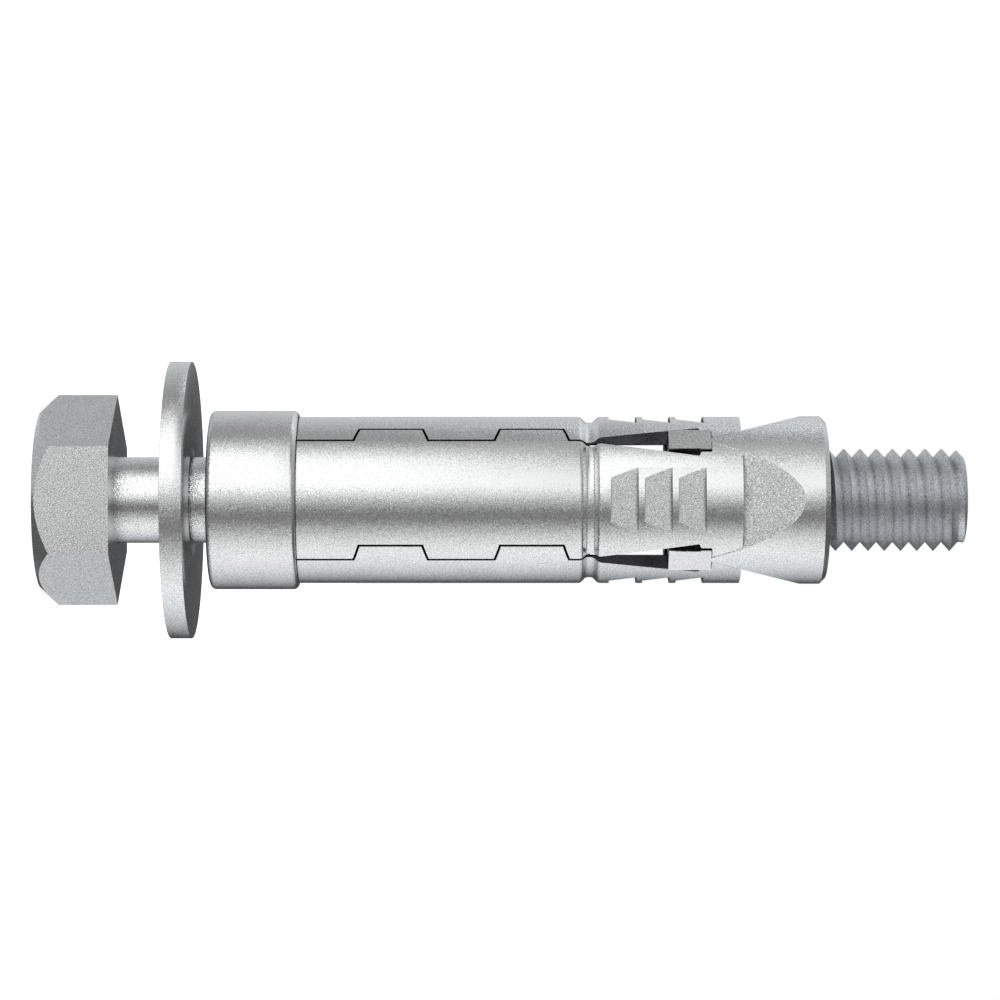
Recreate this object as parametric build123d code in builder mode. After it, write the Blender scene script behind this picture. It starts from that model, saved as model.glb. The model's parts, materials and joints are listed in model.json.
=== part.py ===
from build123d import *
from math import atan2, pi
import os

# A sleeve anchor on a hexagon bolt, standing on the bolt's head.
# The Z axis is the bolt's axis, and z = 0 is the top face of the head.
# The front of the anchor, where one hexagon flat and one segment face, is -Y.

# Bolt
hex_across_flats = 14.0
head_height = 5.82
head_face_radius = 6.77
shank_radius = 3.3
bolt_length = 65.0
thread_radius = 4.0
thread_length = 22.0
thread_chamfer = 0.6

# Washer
washer_radius = 10.65
washer_thickness = 1.66
washer_hole_clearance = 0.2
head_to_washer = 4.12
washer_to_collar = 1.44

# Collar, a turned cup that holds the head end of the four segments
collar_step = 0.485
collar_length = 6.76
collar_wall = 0.87
collar_floor = 0.8
collar_edge_radius = 0.42

# Shield of four segments
segment_count = 4
shield_radius = 6.385
shield_length = 39.65
shield_bore_clearance = 0.25
seam_gap = 0.1
spigot_chamfer = 0.25

# Interlocking tabs along the seams
tab_count = 2
tab_length = 5.64
tab_pitch = 10.68
tab_slant = 0.42
tab_shift = 1.365
shoulder_to_tab = 4.28

# Waist groove where the segments bend, and the barbs beyond it
groove_to_tip = 11.485
groove_width = 1.35
groove_floor = 0.5
groove_depth = 0.45
barb_count = 3
barb_length = 2.1
barb_pitch = 2.56
barb_rise = 0.215
barb_depth = 0.485
groove_to_barb = 1.495

# Slots between the segments, with a lug at each side of the nut's key
# The lugs' steps stand square to the sloping sides of the slot
slot_mouth_width = 3.0
lug_length = 0.82
lug_slant = 0.16

# Cone nut
nut_step = 0.057
nut_tail = 6.6
nut_skirt = 1.91
ramp_slope = 0.25
nut_edge_length = 0.4
nut_edge_depth = 0.41
nut_countersink = 0.35
nose_wall = 0.35
key_width = 2.0
key_reach = 2.12
key_root = 1.09
key_step = 0.073

# Spread of the segments when the nut has been drawn in
nut_travel = 3.0

# Clearances
running_clearance = 0.06
end_clearance = 0.06
ramp_clearance = 0.05
key_clearance = 0.13

# Levels along the axis
washer_bottom = head_height + head_to_washer
washer_top = washer_bottom + washer_thickness
collar_bottom = washer_top + washer_to_collar
collar_seat = collar_bottom + collar_floor
collar_top = collar_bottom + collar_length
shield_seat = collar_seat + end_clearance
shield_shoulder = collar_top + end_clearance
shield_tip = shield_seat + shield_length
groove_z = shield_tip - groove_to_tip
groove_start = groove_z - groove_width / 2
groove_end = groove_z + groove_width / 2
nut_back = shield_tip + nut_tail
bolt_end = head_height + bolt_length
thread_start = bolt_end - thread_length

# Radii and half widths that follow from them
collar_radius = shield_radius + collar_step
nut_radius = shield_radius + nut_step
key_radius = nut_radius + key_step
washer_hole_radius = thread_radius + washer_hole_clearance
shield_bore_radius = thread_radius + shield_bore_clearance
nut_bore_radius = thread_radius + running_clearance
collar_bore_radius = collar_radius - collar_wall
spigot_radius = collar_bore_radius - running_clearance
half_seam = seam_gap / 2
half_slot = slot_mouth_width / 2
half_lug_gap = key_width / 2 + key_clearance
seam_angle = 180 / segment_count


def nut_flat_distance(z):
    """Distance of the nut's inclined flats from the axis at the level z."""
    return nut_radius - ramp_slope * (nut_back - nut_skirt - z)


def nut_flat_level(distance):
    """Level where the nut's inclined flats are this far from the axis."""
    return nut_back - nut_skirt - (nut_radius - distance) / ramp_slope


nut_nose = nut_flat_level(nut_bore_radius + nose_wall)
nut_front = nut_nose - key_reach
key_end = nut_nose + key_root
slot_end = key_end + end_clearance
ramp_knee = nut_flat_level(shield_bore_radius - ramp_clearance)
spread_angle = ramp_slope * nut_travel / (ramp_knee - shield_seat)
mouth_flare = spread_angle * (collar_top - shield_seat)


# Hexagon bolt: the head's corners are turned off by a cone around its top face
with BuildPart() as hex_bolt:
    with BuildSketch(Plane.XY):
        RegularPolygon(hex_across_flats / 2, 6, major_radius=False)
    extrude(amount=head_height)
    with BuildSketch(Plane.XZ):
        with BuildLine():
            Polyline(
                (0, 0),
                (head_face_radius, 0),
                (head_face_radius + head_height, head_height),
                (0, head_height),
                close=True,
            )
        make_face()
    revolve(axis=Axis.Z, mode=Mode.INTERSECT)
    with BuildSketch(Plane.XY.offset(head_height)):
        Circle(shank_radius)
    extrude(amount=bolt_length)
    with BuildSketch(Plane.XY.offset(thread_start)):
        Circle(thread_radius)
    extrude(amount=thread_length)
    thread_ends = hex_bolt.edges().filter_by(GeomType.CIRCLE).filter_by(
        lambda edge: abs(edge.radius - thread_radius) < 1e-6
    )
    chamfer(thread_ends, thread_chamfer)

# Plain washer
with BuildPart() as washer:
    with BuildSketch(Plane.XY.offset(washer_bottom)):
        Circle(washer_radius)
        Circle(washer_hole_radius, mode=Mode.SUBTRACT)
    extrude(amount=washer_thickness)

# Collar: its bore widens to the mouth by what the segments spread there
with BuildPart() as collar:
    with BuildSketch(Plane.XZ):
        with BuildLine():
            Polyline(
                (shield_bore_radius, collar_bottom),
                (collar_radius, collar_bottom),
                (collar_radius, collar_top),
                (collar_bore_radius + mouth_flare, collar_top),
                (collar_bore_radius, collar_seat),
                (shield_bore_radius, collar_seat),
                close=True,
            )
        make_face()
    revolve(axis=Axis.Z)
    fillet(
        collar.edges().filter_by(GeomType.CIRCLE)
        .filter_by(lambda edge: abs(edge.radius - collar_radius) < 1e-6),
        collar_edge_radius,
    )

# Seam line on a plane that touches the shield, as (sideways, along the axis)
seam_line = [(0, shield_seat - 1)]
for tab in range(tab_count):
    tab_start = shield_shoulder + shoulder_to_tab + tab * tab_pitch
    tab_end = tab_start + tab_length
    seam_line += [
        (0, tab_start),
        (tab_shift, tab_start + tab_slant),
        (tab_shift, tab_end - tab_slant),
        (0, tab_end),
    ]
seam_line.append((0, shield_tip + 1))

# Shield: one ring is turned and machined, then parted along the four seams
with BuildPart() as shield:
    with BuildSketch(Plane.XZ):
        with BuildLine():
            Polyline(
                (shield_bore_radius, shield_seat),
                (spigot_radius, shield_seat),
                (spigot_radius, shield_shoulder),
                (shield_radius, shield_shoulder),
                (shield_radius, groove_start),
                (shield_radius - groove_depth, groove_z - groove_floor / 2),
                (shield_radius - groove_depth, groove_z + groove_floor / 2),
                (shield_radius, groove_end),
                (shield_radius, shield_tip),
                (shield_bore_radius, shield_tip),
                close=True,
            )
        make_face()
    revolve(axis=Axis.Z)
    chamfer(
        shield.edges().filter_by(GeomType.CIRCLE)
        .filter_by(lambda edge: abs(edge.radius - spigot_radius) < 1e-6)
        .sort_by(Axis.Z)[0],
        spigot_chamfer,
    )

    # Square pocket beyond the groove, then the four ramps
    with BuildSketch(Plane.XY.offset(groove_z)):
        Rectangle(2 * shield_bore_radius, 2 * shield_bore_radius)
    extrude(amount=ramp_knee - groove_z, mode=Mode.SUBTRACT)
    for level in (ramp_knee, shield_tip):
        with BuildSketch(Plane.XY.offset(level)):
            ramp_side = 2 * (nut_flat_distance(level) + ramp_clearance)
            Rectangle(ramp_side, ramp_side)
    loft(mode=Mode.SUBTRACT)

    # Barbs: shallow sloping flats that end in a step towards the tip
    with BuildSketch(Plane.XZ):
        for barb in range(barb_count):
            barb_start = groove_z + groove_to_barb + barb * barb_pitch
            with BuildLine():
                Polyline(
                    (shield_radius - barb_rise, barb_start),
                    (shield_radius - barb_depth, barb_start + barb_length),
                    (shield_radius + barb_depth, barb_start + barb_length),
                    (shield_radius + barb_depth, barb_start),
                    close=True,
                )
            make_face()
    barbs = extrude(amount=shield_radius, both=True, mode=Mode.PRIVATE)
    with PolarLocations(0, segment_count):
        add(barbs, mode=Mode.SUBTRACT)

    # Seams and slots, cut outwards from the bore
    with BuildSketch(Plane.XZ):
        with BuildLine():
            Polyline(*seam_line)
            offset(amount=half_seam, kind=Kind.INTERSECTION, mode=Mode.REPLACE)
        make_face()
        with BuildLine():
            Polyline(
                (-half_seam, groove_start),
                (-half_slot, slot_end - lug_length - lug_slant),
                (-half_lug_gap, slot_end - lug_length),
                (-half_lug_gap, slot_end),
                (half_lug_gap, slot_end),
                (half_lug_gap, slot_end - lug_length),
                (half_slot, slot_end - lug_length - lug_slant),
                (half_seam, groove_start),
                close=True,
            )
        make_face()
    seam = extrude(amount=-2 * shield_radius, mode=Mode.PRIVATE)
    with PolarLocations(0, segment_count, start_angle=seam_angle):
        add(seam, mode=Mode.SUBTRACT)

# Cone nut: a turned body with four inclined flats and a key on each corner
with BuildPart() as cone_nut:
    with BuildSketch(Plane.XY.offset(nut_nose)):
        Circle(nut_radius)
    extrude(amount=nut_back - nut_nose)
    chamfer(
        cone_nut.edges().filter_by(GeomType.CIRCLE).sort_by(Axis.Z)[-1],
        nut_edge_length,
        nut_edge_depth,
    )
    for level in (nut_nose, nut_back):
        with BuildSketch(Plane.XY.offset(level)):
            flat_side = 2 * nut_flat_distance(level)
            Rectangle(flat_side, flat_side)
    loft(mode=Mode.INTERSECT)
    with BuildSketch(Plane.XY.offset(nut_front)):
        with PolarLocations(0, segment_count, start_angle=seam_angle):
            Rectangle(key_radius, key_width, align=(Align.MIN, Align.CENTER))
    extrude(amount=key_end - nut_front)
    with BuildSketch(Plane.XY.offset(nut_front)):
        Circle(nut_bore_radius)
    extrude(amount=nut_back - nut_front, mode=Mode.SUBTRACT)
    bore_edges = cone_nut.edges().filter_by(GeomType.CIRCLE).filter_by(
        lambda edge: abs(edge.radius - nut_bore_radius) < 1e-6
    )
    chamfer(bore_edges.sort_by(Axis.Z)[-1], nut_countersink)

# Names and files
os.makedirs("parts", exist_ok=True)
hex_bolt.part.label = "hex_bolt"
export_step(hex_bolt.part, "parts/hex_bolt.step")
washer.part.label = "washer"
export_step(washer.part, "parts/washer.step")
collar.part.label = "collar"
export_step(collar.part, "parts/collar.step")
cone_nut.part.label = "cone_nut"
export_step(cone_nut.part, "parts/cone_nut.step")

# The four segments, counted from the front one towards +X
segments = shield.part.solids().sort_by(
    lambda solid: (atan2(solid.center().X, -solid.center().Y) + 0.1) % (2 * pi)
)
for number, solid in enumerate(segments, start=1):
    with BuildPart() as segment:
        add(solid)
    segment.part.label = f"segment_{number}"
    export_step(segment.part, f"parts/segment_{number}.step")
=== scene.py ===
"""Expansion anchor with a hexagon bolt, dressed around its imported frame."""

import json
import math

import bmesh
import bpy
from mathutils import Matrix, Vector


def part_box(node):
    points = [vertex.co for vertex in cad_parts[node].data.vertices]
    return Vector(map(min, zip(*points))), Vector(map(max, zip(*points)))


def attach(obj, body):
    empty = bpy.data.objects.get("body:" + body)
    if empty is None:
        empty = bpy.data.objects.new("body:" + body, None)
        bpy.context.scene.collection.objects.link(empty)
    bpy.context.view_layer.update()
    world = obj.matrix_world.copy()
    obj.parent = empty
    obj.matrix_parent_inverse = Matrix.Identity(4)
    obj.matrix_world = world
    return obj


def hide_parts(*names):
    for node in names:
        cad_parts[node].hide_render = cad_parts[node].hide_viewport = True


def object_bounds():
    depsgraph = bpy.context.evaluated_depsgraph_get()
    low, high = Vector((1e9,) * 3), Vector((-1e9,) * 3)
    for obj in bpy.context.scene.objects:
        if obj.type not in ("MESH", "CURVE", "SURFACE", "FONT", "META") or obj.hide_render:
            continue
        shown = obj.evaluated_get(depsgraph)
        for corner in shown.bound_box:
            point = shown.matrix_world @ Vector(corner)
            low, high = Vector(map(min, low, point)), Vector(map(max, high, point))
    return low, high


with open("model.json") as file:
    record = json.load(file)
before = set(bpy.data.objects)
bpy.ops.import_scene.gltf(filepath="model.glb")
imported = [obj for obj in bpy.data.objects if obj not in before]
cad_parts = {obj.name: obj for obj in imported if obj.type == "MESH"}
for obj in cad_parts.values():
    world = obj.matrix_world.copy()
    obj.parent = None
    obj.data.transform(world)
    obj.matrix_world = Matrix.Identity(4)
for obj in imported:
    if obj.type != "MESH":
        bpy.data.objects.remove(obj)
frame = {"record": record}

bl_info = {
    "name": "Expansion anchor",
    "version": (1, 0, 0),
    "blender": (4, 5, 0),
    "location": "3D View > Sidebar > Anchor",
    "description": "Builds a hexagon bolt expansion anchor with its zinc finish and studio",
    "category": "Object",
}

CAD_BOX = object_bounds()

# Pieces are drawn in millimetres and brought to metres when they are finished
MM = 0.001
HEXAGON = 6
SEGMENTS = 4
TABS = 2
BARBS = 3
QUARTER = math.pi / 2
FULL_TURN = 2 * math.pi

# Steps of a full turn, finest where an outline is seen against the floor
TURNED_STEPS = 160
SHIELD_STEPS = 360
NUT_STEPS = 240
BORE_STEPS = 120
THREAD_STEPS = 96

# Directions of the seams and the keys, half way between the flats
CORNERS = [math.pi / 4 + side * QUARTER for side in range(SEGMENTS)]

# How far a cutter or a neck passes the piece that it meets
BEYOND = 1

# What counts as no length, as one point and as the same ring of points
NO_LENGTH = 1e-5
SAME_POINT = 1e-4
SAME_RING = 1e-3

# Face tests, on the share of a face's normal along the bolt or away from its axis
UPRIGHT = 0.7
OUTWARD = 0.5
UPWARD = 0.9

# Least angle that stays a crease between faces, on plain pieces and on those with shallow flats
CREASE = math.radians(24)
SHALLOW_CREASE = math.radians(11)


def level(node, top):
    """Lowest or highest point of a CAD node along the bolt, in millimetres."""
    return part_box(node)[1 if top else 0].z / MM


def reach(node):
    """Least reach of a round CAD node from the bolt's axis, in millimetres."""
    low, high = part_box(node)
    return min(high.x, high.y, -low.x, -low.y) / MM


def length_property(name, description, millimetres):
    """A size in metres whose default is given in millimetres."""
    return bpy.props.FloatProperty(
        name=name,
        description=description,
        default=millimetres * MM,
        min=0.0,
        precision=6,
        unit="LENGTH",
    )


def number_property(name, description, default, subtype="FACTOR"):
    """A share or another plain number."""
    return bpy.props.FloatProperty(
        name=name, description=description, default=default, subtype=subtype
    )


class BoltSettings(bpy.types.PropertyGroup):
    across_flats: length_property("Across flats", "Hexagon head across its flats", 14.0)
    head_height: length_property("Head height", "Height of the hexagon head", 5.82)
    face_radius: length_property("Face radius", "Round face on top of the head", 6.77)
    shank_radius: length_property("Shank radius", "Reduced plain shank", 3.3)
    thread_radius: length_property("Thread radius", "Outer radius of the thread", 3.93)
    root_radius: length_property("Root radius", "Bottom of the thread", 3.24)
    thread_length: length_property("Thread length", "Threaded end of the bolt", 22.0)
    pitch: length_property("Pitch", "Advance of the thread in one turn", 1.25)
    crest_level: length_property("Crest level", "Level of a crest on the +X side", 69.79)
    end_chamfer: length_property("End chamfer", "Length of the taper at the end", 0.64)
    run_out: length_property("Run-out", "Where the last crest starts to fade, from the end", 0.25)


class SleeveSettings(bpy.types.PropertyGroup):
    washer_hole: length_property("Washer hole", "Radius of the washer's hole", 4.2)
    collar_hole: length_property("Collar hole", "Radius of the collar's hole", 4.25)
    collar_bore: length_property("Collar bore", "Radius inside the collar", 6.0)
    collar_floor: length_property("Collar floor", "Thickness of the collar's floor", 0.8)
    collar_round: length_property("Collar round", "Rounding of the collar's edges", 0.42)
    collar_flare: length_property("Collar flare", "What its bore widens to the mouth", 0.125)
    edge_break: length_property("Edge break", "Broken edge of turned pieces", 0.05)


class ShieldSettings(bpy.types.PropertyGroup):
    radius: length_property("Shield radius", "Outer radius of the segments", 6.385)
    bore_radius: length_property("Bore radius", "Inner radius of the segments", 4.25)
    seam_gap: length_property("Seam gap", "Gap between neighbouring segments", 0.19)
    tab_shift: length_property("Tab shift", "Sideways step of the interlocking tabs", 1.365)
    tab_length: length_property("Tab length", "Length of a tab at its base", 5.64)
    tab_pitch: length_property("Tab pitch", "Distance from one tab to the next", 10.68)
    tab_slant: length_property("Tab slant", "Length of a tab's slanted ends", 0.42)
    first_tab: length_property("First tab", "From the head end to the first tab", 10.24)
    seat_gap: length_property("Seat gap", "Between the collar and the segments' shoulder", 0.06)
    spigot_radius: length_property("Spigot radius", "Reduced end inside the collar", 5.94)
    spigot_chamfer: length_property("Spigot chamfer", "Chamfer of the reduced end", 0.25)
    ramp_gap: length_property("Ramp gap", "Between the ramps and the nut's flats", 0.015)
    groove_to_tip: length_property("Groove to tip", "From the waist groove to the tip", 11.485)
    groove_width: length_property("Groove width", "Mouth of the waist groove", 1.35)
    groove_floor: length_property("Groove floor", "Floor of the waist groove", 0.5)
    groove_depth: length_property("Groove depth", "Depth of the waist groove", 0.45)
    groove_round: length_property("Groove round", "Rounding of the groove", 0.16)
    barb_length: length_property("Barb length", "Length of one barb", 2.1)
    barb_pitch: length_property("Barb pitch", "Distance from one barb to the next", 2.56)
    groove_to_barb: length_property("Groove to barb", "From the groove to the first barb", 1.495)
    barb_rise: length_property("Barb rise", "Depth of a barb's flat where it starts", 0.215)
    barb_depth: length_property("Barb depth", "Depth of a barb's flat at its step", 0.485)
    slot_mouth: length_property("Slot mouth", "Width of the slot at its wide end", 3.0)
    slot_end: length_property("Slot end", "From the foot of the ramps to the slot's end", 1.85)
    lug_length: length_property("Lug length", "Length of the lugs beside the key", 0.82)
    lug_slant: length_property("Lug slant", "Slope of the lugs' steps", 0.16)
    lug_gap: length_property("Lug gap", "From the middle of the slot to a lug", 1.13)


class NutSettings(bpy.types.PropertyGroup):
    radius: length_property("Nut radius", "Round part of the cone nut", 6.442)
    bore_radius: length_property("Nut bore", "Bore around the thread", 4.06)
    minor_radius: length_property("Minor radius", "Radius inside the nut's thread", 3.32)
    key_width: length_property("Key width", "Width of the keys", 2.0)
    key_radius: length_property("Key radius", "Flat outer face of the keys", 6.515)
    key_root: length_property("Key root", "From the nose to the end of the keys", 1.09)
    skirt: length_property("Skirt", "From the run-out of the flats to the back", 1.91)
    edge_length: length_property("Edge length", "Chamfer of the back, along the bolt", 0.4)
    edge_depth: length_property("Edge depth", "Chamfer of the back, towards the bolt", 0.41)
    nose_wall: length_property("Nose wall", "Wall between bore and flats at the nose", 0.35)
    slope: number_property("Slope", "Rise of the flats for each unit of length", 0.25)


class FinishSettings(bpy.types.PropertyGroup):
    zinc_colour: bpy.props.FloatVectorProperty(
        name="Zinc colour",
        description="Colour of the zinc plating",
        default=(0.8, 0.803, 0.806),
        subtype="COLOR",
    )
    roughness: number_property("Roughness", "Blur of the reflections", 0.16)
    grain_size: length_property("Grain size", "Width of one grain of the finish", 0.07)
    grain_tilt: number_property("Grain tilt", "How far the grains lean", 0.5)
    speckle: number_property("Speckle", "Contrast of light and dark grains", 1.7)
    shade_reach: length_property("Shade reach", "How far a corner is shaded", 0.4)


class StudioSettings(bpy.types.PropertyGroup):
    camera_distance: length_property("Camera distance", "From the bolt's axis", 277.0)
    camera_level: length_property("Camera level", "Along the bolt from its head", 35.23)
    lens: number_property("Lens", "Focal length", 129.6, "DISTANCE_CAMERA")
    tent_radius: length_property("Tent radius", "Radius of the light tent", 1500.0)


# Mesh helpers


def outline_face(bm, corners, plane):
    """A face from a few corners, where plane places (across, along) in space."""
    return bm.faces.new([bm.verts.new(plane(*corner)) for corner in corners])


def turned(corners, steps=TURNED_STEPS):
    """A solid turned around Z from an outline of (radius, z) corners."""
    bm = bmesh.new()
    verts = [bm.verts.new((r, 0, z)) for r, z in corners]
    edges = [bm.edges.new(pair) for pair in zip(verts, verts[1:])]
    if corners[0][0] > 0 or corners[-1][0] > 0:
        edges.append(bm.edges.new((verts[-1], verts[0])))
    bmesh.ops.spin(
        bm,
        geom=verts + edges,
        cent=(0, 0, 0),
        axis=(0, 0, 1),
        angle=FULL_TURN,
        steps=steps,
        use_merge=True,
    )
    bmesh.ops.remove_doubles(bm, verts=bm.verts, dist=SAME_POINT)
    bmesh.ops.dissolve_degenerate(bm, edges=bm.edges, dist=NO_LENGTH)
    bmesh.ops.recalc_face_normals(bm, faces=bm.faces)
    return bm


def prism(outlines, plane, direction, depth):
    """Closed outlines pushed both ways along a direction."""
    bm = bmesh.new()
    direction = Vector(direction)
    for corners in outlines:
        face = outline_face(bm, corners, plane)
        pushed = bmesh.ops.extrude_face_region(bm, geom=[face])
        moved = [item for item in pushed["geom"] if isinstance(item, bmesh.types.BMVert)]
        bmesh.ops.translate(bm, verts=moved, vec=direction * 2 * depth)
    bmesh.ops.translate(bm, verts=bm.verts, vec=-direction * depth)
    bmesh.ops.recalc_face_normals(bm, faces=bm.faces)
    return bm


def loose_object(bm, name):
    """An object around a bmesh, which it uses up."""
    mesh = bpy.data.meshes.new(name)
    bm.to_mesh(mesh)
    bm.free()
    piece = bpy.data.objects.new(name, mesh)
    bpy.context.scene.collection.objects.link(piece)
    return piece


def joined(bm, cutter, operation):
    """Result of one solid joined with, cut by or kept inside another."""
    base = loose_object(bm, "blank")
    tool = loose_object(cutter, "tool")
    modifier = base.modifiers.new("join", "BOOLEAN")
    modifier.operation = operation
    modifier.solver = "EXACT"
    modifier.object = tool
    bpy.context.view_layer.update()
    evaluated = base.evaluated_get(bpy.context.evaluated_depsgraph_get())
    result = bmesh.new()
    result.from_mesh(evaluated.to_mesh())
    evaluated.to_mesh_clear()
    for piece in (base, tool):
        mesh = piece.data
        bpy.data.objects.remove(piece)
        bpy.data.meshes.remove(mesh)
    bmesh.ops.remove_doubles(result, verts=result.verts, dist=SAME_POINT)
    if not result.faces:
        raise RuntimeError("a solid vanished when its pieces were joined")
    return result


def rounded(bm, rings, width, segments):
    """Rounds turned edges by this width."""
    bmesh.ops.bevel(
        bm,
        geom=rings,
        offset=width,
        offset_type="OFFSET",
        affect="EDGES",
        segments=segments,
        profile=0.5,
        material=-1,
    )


def finished(bm, name, node, material, smooth_angle=CREASE, others=()):
    """Hands a piece drawn in millimetres to the frame in place of a CAD node.

    Others are pairs of a material and the test for the faces that take it."""
    bmesh.ops.scale(bm, verts=bm.verts, vec=(MM, MM, MM))
    piece = loose_object(bm, name)
    mesh = piece.data
    for polygon in mesh.polygons:
        polygon.use_smooth = True
    mesh.set_sharp_from_angle(angle=smooth_angle)
    mesh.materials.append(material)
    for index, (other, takes) in enumerate(others, start=1):
        mesh.materials.append(other)
        for polygon in mesh.polygons:
            if takes(polygon):
                polygon.material_index = index
    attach(piece, body_of_node(node))
    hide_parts(node)
    return piece


def is_cut_wall(face):
    """True for the walls of seams and slots and for the inside of the shield."""
    outward = Vector((face.center.x, face.center.y, 0)).normalized()
    return abs(face.normal.z) < UPRIGHT and face.normal.dot(outward) < OUTWARD


def is_upper_face(face):
    """True for the flat faces that look along the bolt, away from its head."""
    return face.normal.z > UPWARD


def body_of_node(node):
    """Name of the body that holds a CAD node."""
    for body, nodes in frame["record"]["behaviour"]["bodies"].items():
        if node in nodes:
            return body
    raise RuntimeError(f"no body holds {node}")


# Zinc finish, with painted shade in corners and gaps

# Broad clouds in the plating: how fine, how strong in tone, and how much stronger in blur
CLOUDS_PER_METRE = 420.0
CLOUD_TONE = 0.12
CLOUD_BLUR = 3.0

# Share of open sky where the painted shade in a corner is darkest, and where none is painted
CLOSED_CORNER = 0.3
OPEN_CORNER = 0.85


def new_group(name, inputs, outputs):
    """A node group with these sockets, and its two ends."""
    group = bpy.data.node_groups.new(name, "ShaderNodeTree")
    for in_out, sockets in (("INPUT", inputs), ("OUTPUT", outputs)):
        for socket, kind in sockets.items():
            group.interface.new_socket(socket, in_out=in_out, socket_type=f"NodeSocket{kind}")
    entry = group.nodes.new("NodeGroupInput")
    leave = group.nodes.new("NodeGroupOutput")
    return group, entry, leave


def new_node(nodes, kind, **settings):
    """A shader node of this kind with these settings."""
    node = nodes.new(f"ShaderNode{kind}")
    for name, value in settings.items():
        setattr(node, name, value)
    return node


def grain_group():
    """Tilt, tone and roughness of a fine blasted grain, on object coordinates."""
    name = "blasted_grain"
    if name in bpy.data.node_groups:
        return bpy.data.node_groups[name]
    inputs = {
        "Grains per metre": "Float",
        "Tilt": "Float",
        "Speckle": "Float",
        "Tone": "Color",
        "Roughness": "Float",
    }
    outputs = {"Normal": "Vector", "Colour": "Color", "Roughness": "Float"}
    group, entry, leave = new_group(name, inputs, outputs)
    nodes, links = group.nodes, group.links
    place = new_node(nodes, "TexCoord")
    surface = new_node(nodes, "NewGeometry")

    def math_node(operation, first, second):
        node = new_node(nodes, "Math", operation=operation)
        for socket, source in zip(node.inputs, (first, second)):
            if isinstance(source, float):
                socket.default_value = source
            else:
                links.new(source, socket)
        return node.outputs["Value"]

    def vector_node(operation, first, second=None):
        node = new_node(nodes, "VectorMath", operation=operation)
        links.new(first, node.inputs[0])
        if isinstance(second, tuple):
            node.inputs[1].default_value = second
        elif second:
            links.new(second, node.inputs[1])
        return node.outputs["Vector"]

    # Every grain leans its own way
    fine = new_node(nodes, "TexNoise")
    fine.inputs["Detail"].default_value = 1.0
    fine.inputs["Roughness"].default_value = 0.7
    links.new(place.outputs["Object"], fine.inputs["Vector"])
    links.new(entry.outputs["Grains per metre"], fine.inputs["Scale"])
    lean = vector_node("SUBTRACT", fine.outputs["Color"], (0.5, 0.5, 0.5))
    scaled = new_node(nodes, "VectorMath", operation="SCALE")
    links.new(lean, scaled.inputs[0])
    links.new(entry.outputs["Tilt"], scaled.inputs["Scale"])
    leaning = vector_node("ADD", surface.outputs["Normal"], scaled.outputs["Vector"])
    normal = vector_node("NORMALIZE", leaning)
    links.new(normal, leave.inputs["Normal"])

    # Specks of light and dark, and broader clouds
    channels = new_node(nodes, "SeparateXYZ")
    links.new(fine.outputs["Color"], channels.inputs["Vector"])
    speck = math_node("SUBTRACT", channels.outputs["Z"], 0.5)
    speck = math_node("MULTIPLY", speck, entry.outputs["Speckle"])
    patches = new_node(nodes, "TexNoise")
    patches.inputs["Scale"].default_value = CLOUDS_PER_METRE
    patches.inputs["Detail"].default_value = 3.0
    links.new(place.outputs["Object"], patches.inputs["Vector"])
    cloud = math_node("SUBTRACT", patches.outputs["Fac"], 0.5)
    cloud = math_node("MULTIPLY", cloud, CLOUD_TONE)
    bright = math_node("ADD", math_node("ADD", speck, cloud), 1.0)
    tone = new_node(nodes, "HueSaturation")
    links.new(bright, tone.inputs["Value"])
    links.new(entry.outputs["Tone"], tone.inputs["Color"])
    links.new(tone.outputs["Color"], leave.inputs["Colour"])
    blur = math_node("ADD", math_node("MULTIPLY", cloud, CLOUD_BLUR), 1.0)
    blur = math_node("MULTIPLY", blur, entry.outputs["Roughness"])
    links.new(blur, leave.inputs["Roughness"])
    return group


def painted_shade_group():
    """Painted shade: darkens a colour by ambient occlusion in gaps and inside corners."""
    name = "corner_shade"
    if name in bpy.data.node_groups:
        return bpy.data.node_groups[name]
    inputs = {"Colour": "Color", "Reach": "Float", "Darkest": "Float"}
    group, entry, leave = new_group(name, inputs, {"Colour": "Color"})
    nodes, links = group.nodes, group.links
    open_sky = new_node(nodes, "AmbientOcclusion", samples=8)
    links.new(entry.outputs["Reach"], open_sky.inputs["Distance"])
    share = new_node(nodes, "MapRange")
    share.inputs["From Min"].default_value = CLOSED_CORNER
    share.inputs["From Max"].default_value = OPEN_CORNER
    links.new(open_sky.outputs["AO"], share.inputs["Value"])
    links.new(entry.outputs["Darkest"], share.inputs["To Min"])
    tone = new_node(nodes, "HueSaturation")
    links.new(share.outputs["Result"], tone.inputs["Value"])
    links.new(entry.outputs["Colour"], tone.inputs["Color"])
    links.new(tone.outputs["Color"], leave.inputs["Colour"])
    return group


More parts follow.
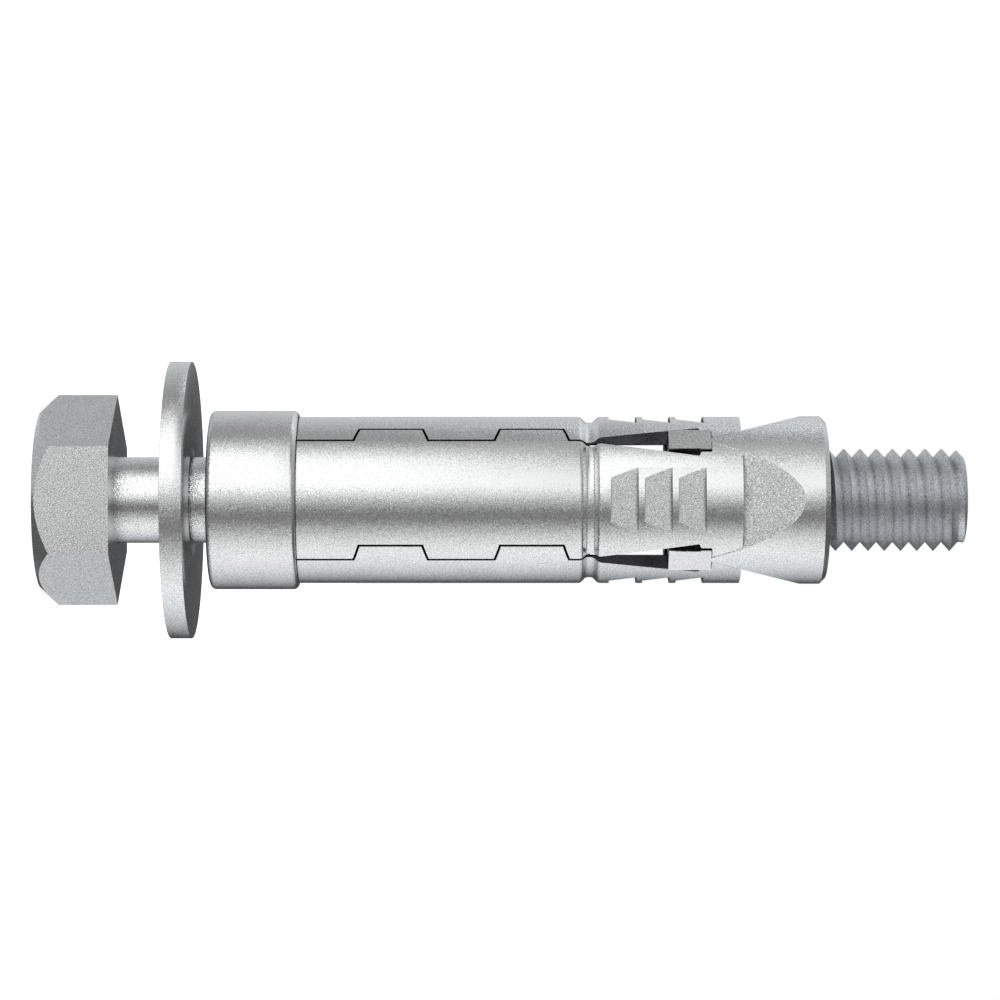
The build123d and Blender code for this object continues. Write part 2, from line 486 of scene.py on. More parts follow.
def zinc(name, settings, tone=(1, 1, 1), roughness=None, darkest=0.12, reach=None, coarse=1.0):
    """Zinc plated steel with a blasted grain, stronger where it is coarse, and painted shade in
    corners and gaps.
    """
    material = bpy.data.materials.new(name)
    material.use_nodes = True
    nodes, links = material.node_tree.nodes, material.node_tree.links
    shader = nodes["Principled BSDF"]
    shader.inputs["Metallic"].default_value = 1.0
    grain = new_node(nodes, "Group")
    grain.node_tree = grain_group()
    grain.inputs["Grains per metre"].default_value = 1.0 / settings.grain_size
    grain.inputs["Tilt"].default_value = settings.grain_tilt
    grain.inputs["Speckle"].default_value = settings.speckle * coarse
    colour = [part * share for part, share in zip(settings.zinc_colour, tone)]
    grain.inputs["Tone"].default_value = colour + [1.0]
    grain.inputs["Roughness"].default_value = roughness or settings.roughness
    # Painted shade: ambient occlusion darkens the base colour in corners and gaps
    corner = new_node(nodes, "Group")
    corner.node_tree = painted_shade_group()
    corner.inputs["Reach"].default_value = reach or settings.shade_reach
    corner.inputs["Darkest"].default_value = darkest
    links.new(grain.outputs["Normal"], shader.inputs["Normal"])
    links.new(grain.outputs["Colour"], corner.inputs["Colour"])
    links.new(corner.outputs["Colour"], shader.inputs["Base Color"])
    links.new(grain.outputs["Roughness"], shader.inputs["Roughness"])
    return material


def rough_face_with_painted_shade(settings):
    """The rougher finish of the faces that bear on one another, with a darker tone that is
    painted shade.
    """
    name = "bearing_face_painted_shade"
    made = bpy.data.materials.get(name)
    return made or zinc(name, settings, tone=(0.82, 0.82, 0.83), roughness=0.26, darkest=0.6)


def painted_shade_wall(settings):
    """A darker, rougher copy of the zinc inside bores and slots, whose darker tone is painted
    shade.
    """
    name = "painted_shade_cut_wall"
    made = bpy.data.materials.get(name)
    return made or zinc(name, settings, tone=(0.48, 0.48, 0.5), roughness=0.4, darkest=0.7)


# Bolt


def bolt_head(bolt):
    """Hexagon head whose corners are turned off by a cone around its face."""
    height = bolt.head_height / MM
    face = bolt.face_radius / MM
    head = bmesh.new()
    half_side = math.pi / HEXAGON
    corner = bolt.across_flats / MM / 2 / math.cos(half_side)
    bmesh.ops.create_cone(
        head, cap_ends=True, segments=HEXAGON, radius1=corner, radius2=corner, depth=height
    )
    turn = Matrix.Rotation(half_side, 3, "Z")
    bmesh.ops.rotate(head, verts=head.verts, cent=(0, 0, 0), matrix=turn)
    bmesh.ops.translate(head, verts=head.verts, vec=(0, 0, height / 2))
    over = height + BEYOND
    cone = turned([(0, 0), (face, 0), (face + over, over), (0, over)])
    return joined(head, cone, "INTERSECT")


def thread_blank(bolt, start, end):
    """Right-hand thread, swept past both ends and closed towards the axis."""
    pitch = bolt.pitch / MM
    root, crest = bolt.root_radius / MM, bolt.thread_radius / MM
    ridge = [(root, -pitch / 2), (crest, 0), (root, pitch / 2)]
    before, spare = 2, 3
    turns = math.ceil((end - start) / pitch) + spare
    first = bolt.crest_level / MM
    first -= pitch * (math.floor((first - start) / pitch) + before)
    bm = bmesh.new()
    verts = [bm.verts.new((r, 0, first + z)) for r, z in ridge]
    edges = [bm.edges.new(pair) for pair in zip(verts, verts[1:])]
    bmesh.ops.spin(
        bm,
        geom=verts + edges,
        cent=(0, 0, 0),
        axis=(0, 0, 1),
        dvec=(0, 0, pitch / THREAD_STEPS),
        angle=FULL_TURN * turns,
        steps=THREAD_STEPS * turns,
    )
    bmesh.ops.remove_doubles(bm, verts=bm.verts, dist=SAME_RING)
    fade_from = end - bolt.run_out / MM
    fade_length = pitch * 0.4
    for vert in bm.verts:
        radius = vert.co.xy.length
        if radius > root + SAME_RING and vert.co.z > fade_from:
            faded = min(1.0, (vert.co.z - fade_from) / fade_length)
            vert.co.xy *= (radius + (root - radius) * faded) / radius
    middle = (start + end) / 2
    for centre_z, above in ((first - pitch, False), (first + pitch * (turns + 1), True)):
        rim = [
            edge
            for edge in bm.edges
            if edge.is_boundary and (edge.verts[0].co.z > middle) == above
        ]
        pulled = bmesh.ops.extrude_edge_only(bm, edges=rim)
        tips = [item for item in pulled["geom"] if isinstance(item, bmesh.types.BMVert)]
        bmesh.ops.pointmerge(bm, verts=tips, merge_co=(0, 0, centre_z))
    bmesh.ops.recalc_face_normals(bm, faces=bm.faces)
    return bm


def make_bolt(bolt, material, thread_material, face_material):
    """Head, shank and thread in one piece."""
    end = level("hex_bolt", True)
    start = end - bolt.thread_length / MM
    root, crest = bolt.root_radius / MM, bolt.thread_radius / MM
    shank = bolt.shank_radius / MM
    taper = bolt.end_chamfer / MM
    inside, outside = 0.01, 0.02
    envelope = turned(
        [
            (0, start),
            (root - inside, start),
            (crest + outside, start + taper),
            (crest + outside, end - taper),
            (root + outside, end),
            (0, end),
        ]
    )
    thread = joined(thread_blank(bolt, start, end), envelope, "INTERSECT")
    head = bolt_head(bolt)
    neck_from, neck_to = bolt.head_height / MM - BEYOND, start + taper / 2
    neck = turned([(0, neck_from), (shank, neck_from), (shank, neck_to), (0, neck_to)])
    solid = joined(joined(head, neck, "UNION"), thread, "UNION")
    return finished(
        solid,
        "bolt_with_thread",
        "hex_bolt",
        material,
        others=(
            (thread_material, lambda face: face.center.z > start * MM),
            (face_material, faces_up_to_the_head),
        ),
    )


def faces_up_to_the_head(face):
    """True for the bearing face of the bolt's head."""
    return is_upper_face(face) and face.center.z < level("washer", False) * MM


# Washer and collar


def broken_edges(bm, radius, width, segments):
    """Rounds the turned edges that lie at this radius."""
    rings = [
        edge
        for edge in bm.edges
        if all(abs(vert.co.xy.length - radius) < SAME_RING for vert in edge.verts)
        and abs(edge.verts[0].co.z - edge.verts[1].co.z) < SAME_POINT
    ]
    rounded(bm, rings, width, segments)


def make_washer(sleeve, material, inner, face_material):
    """Plain washer with broken edges."""
    low, high = level("washer", False), level("washer", True)
    hole, rim = sleeve.washer_hole / MM, reach("washer")
    bm = turned([(hole, low), (rim, low), (rim, high), (hole, high)])
    for radius in (hole, rim):
        broken_edges(bm, radius, sleeve.edge_break / MM, segments=2)
    # The hole's wall takes the painted shade of the wall zinc, the upper face the darker bearing
    # zinc
    others = ((inner, is_cut_wall), (face_material, is_upper_face))
    return finished(bm, "plain_washer", "washer", material, others=others)


def make_collar(sleeve, material, inner):
    """Turned cup whose bore widens to its mouth."""
    low, high = level("collar", False), level("collar", True)
    rim, hole = reach("collar"), sleeve.collar_hole / MM
    bore = sleeve.collar_bore / MM
    mouth = bore + sleeve.collar_flare / MM
    floor = low + sleeve.collar_floor / MM
    outline = [(hole, low), (rim, low), (rim, high), (mouth, high), (bore, floor), (hole, floor)]
    bm = turned(outline)
    broken_edges(bm, rim, sleeve.collar_round / MM, segments=6)
    for radius in (mouth, hole):
        broken_edges(bm, radius, sleeve.edge_break / MM, segments=2)
    # The collar's inside takes the painted shade of the wall zinc
    return finished(bm, "turned_collar", "collar", material, others=((inner, is_cut_wall),))


# Shield of four segments


def groove_profile(shield, waist):
    """Corners of the waist groove before they are rounded, as (radius, z)."""
    radius, depth = shield.radius / MM, shield.groove_depth / MM
    half, floor = shield.groove_width / MM / 2, shield.groove_floor / MM / 2
    return [
        (radius, waist - half),
        (radius - depth, waist - floor),
        (radius - depth, waist + floor),
        (radius, waist + half),
    ]


def rounded_groove(ring, corners, width):
    """Rounds the corners of the turned groove."""
    rings = [
        edge
        for edge in ring.edges
        if any(
            all(
                abs(vert.co.xy.length - radius) < SAME_RING and abs(vert.co.z - z) < SAME_RING
                for vert in edge.verts
            )
            for radius, z in corners
        )
    ]
    rounded(ring, rings, width, segments=5)


def seam_cutter(shield, bottom, top, waist, knee):
    """One seam with its tabs and its V slot, cut outwards from the bore."""
    gap = shield.seam_gap / MM / 2
    mouth = shield.slot_mouth / MM / 2
    shift, tab_slant = shield.tab_shift / MM, shield.tab_slant / MM
    tab_start = bottom + shield.first_tab / MM
    line = [(0, bottom - BEYOND)]
    for tab in range(TABS):
        start = tab_start + tab * shield.tab_pitch / MM
        stop = start + shield.tab_length / MM
        line += [(0, start), (shift, start + tab_slant), (shift, stop - tab_slant), (0, stop)]
    line.append((0, top + BEYOND))
    seam = strip_outline(line, gap)
    slot_start = waist - shield.groove_width / MM / 2
    slot_end = knee + shield.slot_end / MM
    lug_start = slot_end - shield.lug_length / MM
    slant, lug_gap = shield.lug_slant / MM, shield.lug_gap / MM
    slot = [
        (-gap, slot_start),
        (gap, slot_start),
        (mouth, lug_start - slant),
        (lug_gap, lug_start),
        (lug_gap, slot_end),
        (-lug_gap, slot_end),
        (-lug_gap, lug_start),
        (-mouth, lug_start - slant),
    ]
    return seam, slot


def strip_outline(line, half):
    """Outline of a strip that follows a line at half its width to each side."""
    left, right = [], []
    for index, point in enumerate(line):
        here = Vector(point)
        before = (here - Vector(line[index - 1])).normalized() if index else None
        after = None
        if index + 1 < len(line):
            after = (Vector(line[index + 1]) - here).normalized()
        before, after = before or after, after or before
        normals = [Vector((-way.y, way.x)) for way in (before, after)]
        mitre = (normals[0] + normals[1]).normalized()
        mitre *= half / mitre.dot(normals[0])
        left.append(tuple(here + mitre))
        right.append(tuple(here - mitre))
    return left + right[::-1]


def radial_block(outline, angle, near, far):
    """An outline seen from outside, cut through a wall in the direction of angle."""
    outward = Vector((math.cos(angle), math.sin(angle), 0))
    sideways = Vector((math.sin(angle), -math.cos(angle), 0))
    middle = (near + far) / 2

    def plane(across, along):
        return outward * middle + sideways * across + Vector((0, 0, along))

    return prism([outline], plane, outward, (far - near) / 2)


def pyramid(low, half_low, high, half_high):
    """Four-sided frustum between two levels, given half its side at each."""
    bm = bmesh.new()
    bmesh.ops.create_cone(
        bm,
        cap_ends=True,
        segments=4,
        radius1=half_low * math.sqrt(2),
        radius2=half_high * math.sqrt(2),
        depth=high - low,
    )
    bmesh.ops.rotate(
        bm, verts=bm.verts, cent=(0, 0, 0), matrix=Matrix.Rotation(math.pi / 4, 3, "Z")
    )
    bmesh.ops.translate(bm, verts=bm.verts, vec=(0, 0, (low + high) / 2))
    return bm


def shield_ring(shield, slope, flats_end, nut_radius):
    """The whole shield before it is parted along its seams."""
    bottom, top = level("segment_1", False), level("segment_1", True)
    radius, bore = shield.radius / MM, shield.bore_radius / MM
    shoulder = level("collar", True) + shield.seat_gap / MM
    spigot, chamfer = shield.spigot_radius / MM, shield.spigot_chamfer / MM
    ramp_gap = shield.ramp_gap / MM
    waist = top - shield.groove_to_tip / MM
    knee = flats_end - (nut_radius - bore + ramp_gap) / slope
    outline = [
        (bore, bottom),
        (spigot - chamfer, bottom),
        (spigot, bottom + chamfer),
        (spigot, shoulder),
        (radius, shoulder),
        *groove_profile(shield, waist),
        (radius, top),
        (bore, top),
    ]
    ring = turned(outline, steps=SHIELD_STEPS)
    rounded_groove(ring, groove_profile(shield, waist), shield.groove_round / MM)
    pocket = pyramid(waist, bore, knee, bore)
    ring = joined(ring, pocket, "DIFFERENCE")
    ramp_top = top + BEYOND
    ramps = pyramid(
        knee, bore, ramp_top, nut_radius - slope * (flats_end - ramp_top) + ramp_gap
    )
    ring = joined(ring, ramps, "DIFFERENCE")
    rise, depth = shield.barb_rise / MM, shield.barb_depth / MM
    for barb in range(BARBS):
        start = waist + (shield.groove_to_barb + barb * shield.barb_pitch) / MM
        stop = start + shield.barb_length / MM
        wedge = [(rise, start), (depth, stop), (-depth, stop), (-depth, start)]
        for side in range(SEGMENTS):
            block = barb_block(wedge, radius, side * QUARTER)
            ring = joined(ring, block, "DIFFERENCE")
    return ring, waist, knee


def barb_block(wedge, radius, angle):
    """A wedge laid across the shield, whose corners are (depth, z)."""
    outward = Vector((math.cos(angle), math.sin(angle), 0))
    sideways = Vector((math.sin(angle), -math.cos(angle), 0))

    def plane(depth, along):
        return outward * (radius - depth) + Vector((0, 0, along))

    return prism([wedge], plane, sideways, radius)


def parted(bm):
    """Loose pieces of a solid, each as its own bmesh."""
    bm.verts.index_update()
    left = set(bm.verts)
    groups = []
    while left:
        seeds = [left.pop()]
        group = set(seeds)
        while seeds:
            vert = seeds.pop()
            for edge in vert.link_edges:
                other = edge.other_vert(vert)
                if other not in group:
                    group.add(other)
                    seeds.append(other)
        left -= group
        groups.append({vert.index for vert in group})
    pieces = []
    for group in groups:
        piece = bm.copy()
        piece.verts.ensure_lookup_table()
        extra = [vert for vert in piece.verts if vert.index not in group]
        bmesh.ops.delete(piece, geom=extra, context="VERTS")
        pieces.append(piece)
    bm.free()
    return pieces


def segment_number(piece):
    """Number of a segment, counted from the front one towards +X."""
    centre = sum((vert.co for vert in piece.verts), Vector()) / len(piece.verts)
    slack = 0.1
    turn = (math.atan2(centre.x, -centre.y) + slack) % FULL_TURN
    return int(turn // QUARTER) + 1


def make_shield(shield, nut, material, shaded_wall_material):
    """Four segments, machined as one ring and then parted."""
    top = level("cone_nut", True)
    slope = nut.slope
    flats_end = top - nut.skirt / MM
    ring, waist, knee = shield_ring(shield, slope, flats_end, nut.radius / MM)
    bottom, tip = level("segment_1", False), level("segment_1", True)
    cut_from, cut_to = 3.0, 9.0
    seam, slot = seam_cutter(shield, bottom, tip, waist, knee)
    for angle in CORNERS:
        for outline in (seam, slot):
            ring = joined(ring, radial_block(outline, angle, cut_from, cut_to), "DIFFERENCE")
    pieces = parted(ring)
    if len(pieces) != SEGMENTS:
        raise RuntimeError(f"the shield parted into {len(pieces)} pieces")
    for piece in sorted(pieces, key=segment_number):
        number = segment_number(piece)
        finished(
            piece,
            f"shield_segment_{number}",
            f"segment_{number}",
            material,
            smooth_angle=SHALLOW_CREASE,
            # The walls of seams and slots take the painted shade of the wall zinc
            others=((shaded_wall_material, is_cut_wall),),
        )


# Cone nut


def make_nut(nut, material, inner, face_material):
    """Turned body with four inclined flats and a key on each corner."""
    front, back = level("cone_nut", False), level("cone_nut", True)
    radius, bore = nut.radius / MM, nut.bore_radius / MM
    flats_end = back - nut.skirt / MM
    nose = flats_end - (radius - bore - nut.nose_wall / MM) / nut.slope
    key_start, key_end = 1.5, nose + nut.key_root / MM
    outline = [
        (0, nose),
        (radius, nose),
        (radius, back - nut.edge_length / MM),
        (radius - nut.edge_depth / MM, back),
        (0, back),
    ]
    body = turned(outline, steps=NUT_STEPS)
    below, above = nose - BEYOND, back + BEYOND
    half = [radius - nut.slope * (flats_end - z) for z in (below, above)]
    body = joined(body, pyramid(below, half[0], above, half[1]), "INTERSECT")
    width = nut.key_width / MM / 2
    far = nut.key_radius / MM
    key = [(-width, front), (width, front), (width, key_end), (-width, key_end)]
    for angle in CORNERS:
        body = joined(body, radial_block(key, angle, key_start, far), "UNION")
    minor = nut.minor_radius / MM
    sink = bore - minor
    bore_limit = bore * MM * 1.1
    hole = turned(
        [
            (0, front - BEYOND),
            (minor, front - BEYOND),
            (minor, back - sink),
            (bore, back),
            (bore, above),
            (0, above),
        ],
        steps=BORE_STEPS,
    )
    body = joined(body, hole, "DIFFERENCE")
    return finished(
        body,
        "cone_nut_with_keys",
        "cone_nut",
        material,
        smooth_angle=SHALLOW_CREASE,
        others=(
            # The bore takes the painted shade of the wall zinc, the back face the darker bearing
            # zinc
            (inner, lambda face: is_cut_wall(face) and face.center.xy.length < bore_limit),
            (face_material, is_upper_face),
        ),
    )


# Studio

# Cards round the object: name, angle from the camera, brightness on screen
CARDS = (
    ("gap behind", -180, 78),
    ("black table edge", -158, 62),
    ("table edge", -148, 110),
    ("lower bounce start", -130, 166),
    ("lower bounce", -105, 212),
    ("lower bounce", -77, 232),
    ("lower bounce end", -57, 213),
    ("dark card edge", -40, 168),
    ("dark card", -25, 108),
    ("dark card", -17, 114),
    ("camera side", 0, 182),
    ("softbox edge", 9, 228),
    ("softbox", 19, 266),
    ("softbox", 56, 268),
    ("softbox edge", 67, 230),
    ("upper wall", 86, 145),
    ("upper wall", 99, 141),
    ("far wall", 125, 172),
    ("far wall", 150, 189),
    ("far wall end", 166, 190),
    ("gap behind", 176, 78),
    ("gap behind", 180, 78),
)

# The same ring beside the tip, where the softbox runs out
TIP_CARDS = tuple(card for card in CARDS if card[1] <= 0) + (
    ("softbox edge", 9, 219),
    ("softbox", 19, 231),
    ("softbox", 30, 217),
    ("softbox", 42, 206),
    ("softbox edge", 53, 158),
    ("upper wall", 67, 136),
    ("upper wall", 84, 160),
    ("upper wall", 99, 176),
    ("far wall", 112, 220),
    ("far wall", 135, 210),
    ("far wall end", 166, 190),
    ("gap behind", 176, 78),
    ("gap behind", 180, 78),
)

# Heights on the tent, as a sine, between which one ring gives way to the other
HEAD_RING = 0.085
TIP_RING = 0.14

# What stands beyond the ends of the bolt, by the same angle
END_CARDS = (
    ("dark end", -180, 84),
    ("dark end", -90, 84),
    ("dark end", -45, 112),
    ("end wall edge", 0, 140),
    ("end wall edge", 50, 150),
    ("end wall", 90, 165),
    ("end wall", 150, 172),
    ("dark end", 180, 115),
)

# Elevations in degrees between which both rings give way to the ends
RING_ELEVATION = 32
END_ELEVATION = 52

# Blue of the cards beyond this angle, and of the others
COLD_FROM = 100
COLD = 0.03
NEARLY_NEUTRAL = 0.003

# Inputs and output of a colour mix node
MIX_A, MIX_B, MIX_RESULT = 6, 7, 2

# Floor, and the plain grey light of the room
FLOOR_RADIUS = 0.6
FLOOR_PAPER = (0.6, 0.6, 0.6, 1)
FLOOR_GLOW = 0.65
ROOM_LIGHT = 0.8

# Lamp above the front of the floor
LAMP_PLACE = (0.0, -0.5, 0.7)
LAMP_SIZE = 0.5
LAMP_ENERGY = 4.0

# Width of the camera's film in millimetres, and the depth that it sees in metres
FILM_WIDTH = 36.0
NEAREST, FARTHEST = 0.01, 10.0


def light_of(grey, reflectance=0.8):
    """Light that a polished surface needs to show a grey of 0 to 255."""
    share = grey / 255
    linear = share / 12.92 if share <= 0.04045 else ((share + 0.055) / 1.055) ** 2.4
    return linear / reflectance


def card_ramp(nodes, cards):
    """Colour ramp with one stop for each card."""
    ramp = new_node(nodes, "ValToRGB")
    stops = ramp.color_ramp.elements
    for index, (_, degrees, grey) in enumerate(cards):
        position = (degrees + 180) / 360
        if index == 0:
            stop = stops[0]
        elif index == len(cards) - 1:
            stop = stops[-1]
        else:
            stop = stops.new(position)
        stop.position = position
        bright = light_of(grey)
        cold = COLD if abs(degrees) > COLD_FROM else NEARLY_NEUTRAL
        stop.color = (bright * (1 - cold), bright, bright * (1 + cold), 1.0)
    return ramp


def blank_material(name):
    """A material without nodes, with its node and link lists."""
    material = bpy.data.materials.new(name)
    material.use_nodes = True
    nodes, links = material.node_tree.nodes, material.node_tree.links
    nodes.clear()
    return material, nodes, links


def tent_material():
    """Light of the cards, by the direction from the middle of the tent."""
    material, nodes, links = blank_material("light_tent")
    place = new_node(nodes, "TexCoord")
    flip = new_node(nodes, "VectorMath", operation="SCALE")
    flip.inputs["Scale"].default_value = -1.0
    parts = new_node(nodes, "SeparateXYZ")
    angle = new_node(nodes, "Math", operation="ARCTAN2")
    spread = new_node(nodes, "MapRange")
    spread.inputs["From Min"].default_value = -math.pi
    spread.inputs["From Max"].default_value = math.pi
    way = new_node(nodes, "VectorMath", operation="NORMALIZE")
    height = new_node(nodes, "SeparateXYZ")
    steep = new_node(nodes, "Math", operation="ABSOLUTE")
    share = new_node(nodes, "MapRange", interpolation_type="SMOOTHSTEP")
    share.inputs["From Min"].default_value = math.sin(math.radians(RING_ELEVATION))
    share.inputs["From Max"].default_value = math.sin(math.radians(END_ELEVATION))
    along = new_node(nodes, "MapRange")
    along.inputs["From Min"].default_value = HEAD_RING
    along.inputs["From Max"].default_value = TIP_RING
    head_ramp, tip_ramp = card_ramp(nodes, CARDS), card_ramp(nodes, TIP_CARDS)
    end_ramp = card_ramp(nodes, END_CARDS)
    ring = new_node(nodes, "Mix", data_type="RGBA")
    mix = new_node(nodes, "Mix", data_type="RGBA")
    light = new_node(nodes, "Emission")
    light.inputs["Strength"].default_value = 1.0
    leave = new_node(nodes, "OutputMaterial")
    links.new(place.outputs["Object"], flip.inputs[0])
    links.new(flip.outputs["Vector"], parts.inputs["Vector"])
    links.new(parts.outputs["X"], angle.inputs[0])
    links.new(parts.outputs["Y"], angle.inputs[1])
    links.new(angle.outputs["Value"], spread.inputs["Value"])
    links.new(place.outputs["Object"], way.inputs[0])
    links.new(way.outputs["Vector"], height.inputs["Vector"])
    links.new(height.outputs["Z"], steep.inputs[0])
    links.new(steep.outputs["Value"], share.inputs["Value"])
    links.new(share.outputs["Result"], mix.inputs["Factor"])
    links.new(height.outputs["Z"], along.inputs["Value"])
    links.new(along.outputs["Result"], ring.inputs["Factor"])
    for ramp in (head_ramp, tip_ramp, end_ramp):
        links.new(spread.outputs["Result"], ramp.inputs["Fac"])
    links.new(head_ramp.outputs["Color"], ring.inputs[MIX_A])
    links.new(tip_ramp.outputs["Color"], ring.inputs[MIX_B])
    links.new(ring.outputs[MIX_RESULT], mix.inputs[MIX_A])
    links.new(end_ramp.outputs["Color"], mix.inputs[MIX_B])
    links.new(mix.outputs[MIX_RESULT], light.inputs["Color"])
    links.new(light.outputs["Emission"], leave.inputs["Surface"])
    return material


def floor_material():
    """Pale paper that glows to the camera and can be seen through from below."""
    material, nodes, links = blank_material("pale_floor")
    paper = new_node(nodes, "BsdfDiffuse")
    paper.inputs["Color"].default_value = FLOOR_PAPER
    glow = new_node(nodes, "Emission")
    rays = new_node(nodes, "LightPath")
    seen = new_node(nodes, "Math", operation="MAXIMUM")
    strength = new_node(nodes, "Math", operation="MULTIPLY")
    strength.inputs[1].default_value = FLOOR_GLOW
    both = new_node(nodes, "AddShader")
    surface = new_node(nodes, "NewGeometry")
    clear = new_node(nodes, "BsdfTransparent")
    one_sided = new_node(nodes, "MixShader")
    leave = new_node(nodes, "OutputMaterial")
    links.new(rays.outputs["Is Camera Ray"], seen.inputs[0])
    links.new(rays.outputs["Is Glossy Ray"], seen.inputs[1])
    links.new(seen.outputs["Value"], strength.inputs[0])
    links.new(strength.outputs["Value"], glow.inputs["Strength"])
    links.new(paper.outputs["BSDF"], both.inputs[0])
    links.new(glow.outputs["Emission"], both.inputs[1])
    links.new(surface.outputs["Backfacing"], one_sided.inputs["Fac"])
    links.new(both.outputs["Shader"], one_sided.inputs[1])
    links.new(clear.outputs["BSDF"], one_sided.inputs[2])
    links.new(one_sided.outputs["Shader"], leave.inputs["Surface"])
    return material


def pale_world():
    """White to the camera, to metal and to glass, and a plain grey as light."""
    world = bpy.data.worlds.new("pale_world")
    bpy.context.scene.world = world
    world.use_nodes = True
    nodes, links = world.node_tree.nodes, world.node_tree.links
    nodes.clear()
    rays = new_node(nodes, "LightPath")
    first = new_node(nodes, "Math", operation="MAXIMUM")
    second = new_node(nodes, "Math", operation="MAXIMUM")
    strength = new_node(nodes, "MapRange")
    strength.inputs["To Min"].default_value = ROOM_LIGHT
    strength.inputs["To Max"].default_value = 1.0
    sky = new_node(nodes, "Background")
    sky.inputs["Color"].default_value = (1, 1, 1, 1)
    leave = new_node(nodes, "OutputWorld")
    links.new(rays.outputs["Is Camera Ray"], first.inputs[0])
    links.new(rays.outputs["Is Glossy Ray"], first.inputs[1])
    links.new(first.outputs["Value"], second.inputs[0])
    links.new(rays.outputs["Is Transmission Ray"], second.inputs[1])
    links.new(second.outputs["Value"], strength.inputs["Value"])
    links.new(strength.outputs["Result"], sky.inputs["Strength"])
    links.new(sky.outputs["Background"], leave.inputs["Surface"])


def make_studio(studio):
    """Floor, light tent, lamp and camera."""
    scene = bpy.context.scene
    scene.view_settings.view_transform = "Standard"
    pale_world()
    low, high = CAD_BOX
    middle = (low + high) / 2

    floor = bmesh.new()
    bmesh.ops.create_circle(floor, cap_ends=True, segments=96, radius=FLOOR_RADIUS)
    ground = loose_object(floor, "floor")
    ground.data.materials.append(floor_material())
    ground.visible_glossy = False
    ground.visible_shadow = False

    tent = bmesh.new()
    bmesh.ops.create_uvsphere(tent, u_segments=96, v_segments=48, radius=studio.tent_radius)
    shell = loose_object(tent, "light_tent")
    shell.data.materials.append(tent_material())
    for kind in ("camera", "diffuse", "transmission", "volume_scatter", "shadow"):
        setattr(shell, f"visible_{kind}", False)

    lamp = bpy.data.lights.new("softbox", "AREA")
    lamp.size = LAMP_SIZE
    lamp.energy = LAMP_ENERGY
    soft = bpy.data.objects.new("softbox", lamp)
    soft.location = LAMP_PLACE
    aim = middle - soft.location
    soft.rotation_euler = aim.to_track_quat("-Z", "Y").to_euler()
    soft.visible_glossy = False
    scene.collection.objects.link(soft)

    lens = bpy.data.cameras.new("camera")
    lens.lens = studio.lens
    lens.sensor_width = FILM_WIDTH
    camera = bpy.data.objects.new("camera", lens)
    right, up, back = Vector((0, 0, 1)), Vector((-1, 0, 0)), Vector((0, -1, 0))
    turn = Matrix((right, up, back)).transposed().to_4x4()
    place = Vector((0, -studio.camera_distance, studio.camera_level))
    camera.matrix_world = Matrix.Translation(place) @ turn
    lens.clip_start = NEAREST
    lens.clip_end = FARTHEST
    scene.collection.objects.link(camera)
    scene.camera = camera


# Add-on


class AnchorSettings(bpy.types.PropertyGroup):
    bolt: bpy.props.PointerProperty(type=BoltSettings)
    sleeve: bpy.props.PointerProperty(type=SleeveSettings)
    shield: bpy.props.PointerProperty(type=ShieldSettings)
    nut: bpy.props.PointerProperty(type=NutSettings)
    finish: bpy.props.PointerProperty(type=FinishSettings)
    studio: bpy.props.PointerProperty(type=StudioSettings)


class ANCHOR_OT_bolt(bpy.types.Operator):
    """Build the hexagon bolt with its rolled thread"""

    bl_idname = "anchor.bolt"
    bl_label = "Hexagon bolt"

    def execute(self, context):
        settings = context.scene.anchor
        finish = settings.finish
        # Rougher zinc on the thread, whose valleys take painted shade set by darkest and reach
        dull = zinc(
            "dull_thread",
            finish,
            tone=(0.86, 0.88, 0.9),
            roughness=0.4,
            darkest=0.65,
            reach=0.7 * MM,
            coarse=1.6,
        )
        # Painted shade on the shank under the head and beside the washer, set by darkest and
        # reach
        plated = zinc("zinc_bolt", finish, darkest=0.5, reach=1.4 * MM, coarse=1.5)
        make_bolt(settings.bolt, plated, dull, rough_face_with_painted_shade(finish))
        return {"FINISHED"}


class ANCHOR_OT_washer(bpy.types.Operator):
    """Build the plain washer"""

    bl_idname = "anchor.washer"
    bl_label = "Washer"

    def execute(self, context):
        settings = context.scene.anchor
        finish = settings.finish
        plated = zinc("zinc_washer", finish)
        make_washer(settings.sleeve, plated, painted_shade_wall(finish), rough_face_with_painted_shade(finish))
        return {"FINISHED"}


class ANCHOR_OT_collar(bpy.types.Operator):
    """Build the turned collar that holds the segments"""

    bl_idname = "anchor.collar"
    bl_label = "Collar"

    def execute(self, context):
        settings = context.scene.anchor
        finish = settings.finish
        plated = zinc("zinc_collar", finish)
        make_collar(settings.sleeve, plated, painted_shade_wall(finish))
        return {"FINISHED"}


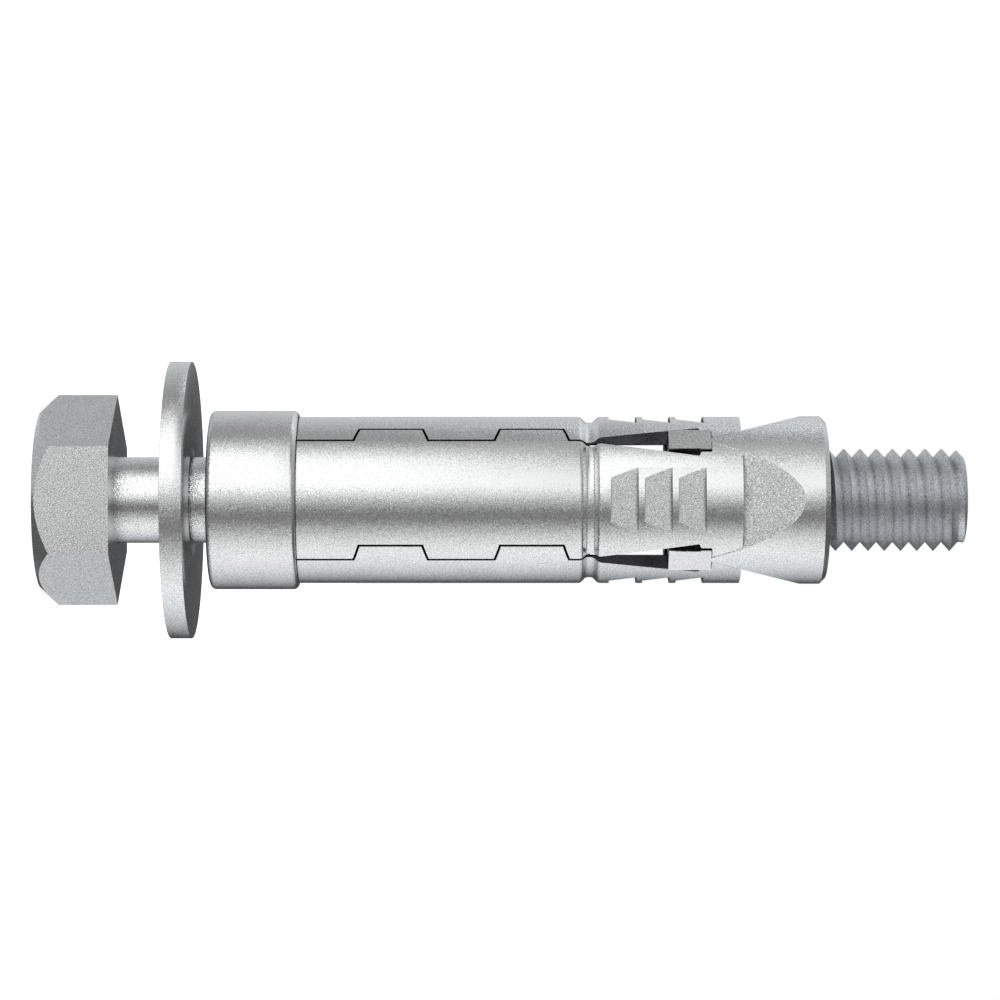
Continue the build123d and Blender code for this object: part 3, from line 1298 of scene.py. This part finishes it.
class ANCHOR_OT_segments(bpy.types.Operator):
    """Build the four interlocking segments of the shield"""

    bl_idname = "anchor.segments"
    bl_label = "Shield segments"

    def execute(self, context):
        settings = context.scene.anchor
        finish = settings.finish
        plated = zinc("zinc_shield", finish)
        make_shield(settings.shield, settings.nut, plated, painted_shade_wall(finish))
        return {"FINISHED"}


class ANCHOR_OT_nut(bpy.types.Operator):
    """Build the cone nut with its four keys"""

    bl_idname = "anchor.nut"
    bl_label = "Cone nut"

    def execute(self, context):
        settings = context.scene.anchor
        finish = settings.finish
        # darkest sets how deep the painted shade goes in the nut's corners
        plated = zinc("zinc_nut", finish, darkest=0.4)
        make_nut(settings.nut, plated, painted_shade_wall(finish), rough_face_with_painted_shade(finish))
        return {"FINISHED"}


class ANCHOR_OT_studio(bpy.types.Operator):
    """Set up the floor, the light tent, the lamp and the camera"""

    bl_idname = "anchor.studio"
    bl_label = "Studio"

    def execute(self, context):
        make_studio(context.scene.anchor.studio)
        return {"FINISHED"}


OPERATORS = (
    ANCHOR_OT_studio,
    ANCHOR_OT_bolt,
    ANCHOR_OT_washer,
    ANCHOR_OT_collar,
    ANCHOR_OT_segments,
    ANCHOR_OT_nut,
)


class ANCHOR_PT_panel(bpy.types.Panel):
    """Sizes of the anchor and the buttons that build it"""

    bl_idname = "ANCHOR_PT_panel"
    bl_label = "Expansion anchor"
    bl_space_type = "VIEW_3D"
    bl_region_type = "UI"
    bl_category = "Anchor"

    def draw(self, context):
        layout = self.layout
        for operator in OPERATORS:
            layout.operator(operator.bl_idname)
        for group in ("bolt", "sleeve", "shield", "nut", "finish", "studio"):
            settings = getattr(context.scene.anchor, group)
            box = layout.box()
            for name in settings.__annotations__:
                box.prop(settings, name)


CLASSES = (
    BoltSettings,
    SleeveSettings,
    ShieldSettings,
    NutSettings,
    FinishSettings,
    StudioSettings,
    AnchorSettings,
    *OPERATORS,
    ANCHOR_PT_panel,
)


def register():
    for cls in CLASSES:
        bpy.utils.register_class(cls)
    bpy.types.Scene.anchor = bpy.props.PointerProperty(type=AnchorSettings)


def unregister():
    del bpy.types.Scene.anchor
    for cls in reversed(CLASSES):
        bpy.utils.unregister_class(cls)


def main():
    register()
    for operator in OPERATORS:
        group, name = operator.bl_idname.split(".")
        getattr(getattr(bpy.ops, group), name)()
    bpy.context.view_layer.update()


if __name__ == "__main__":
    main()
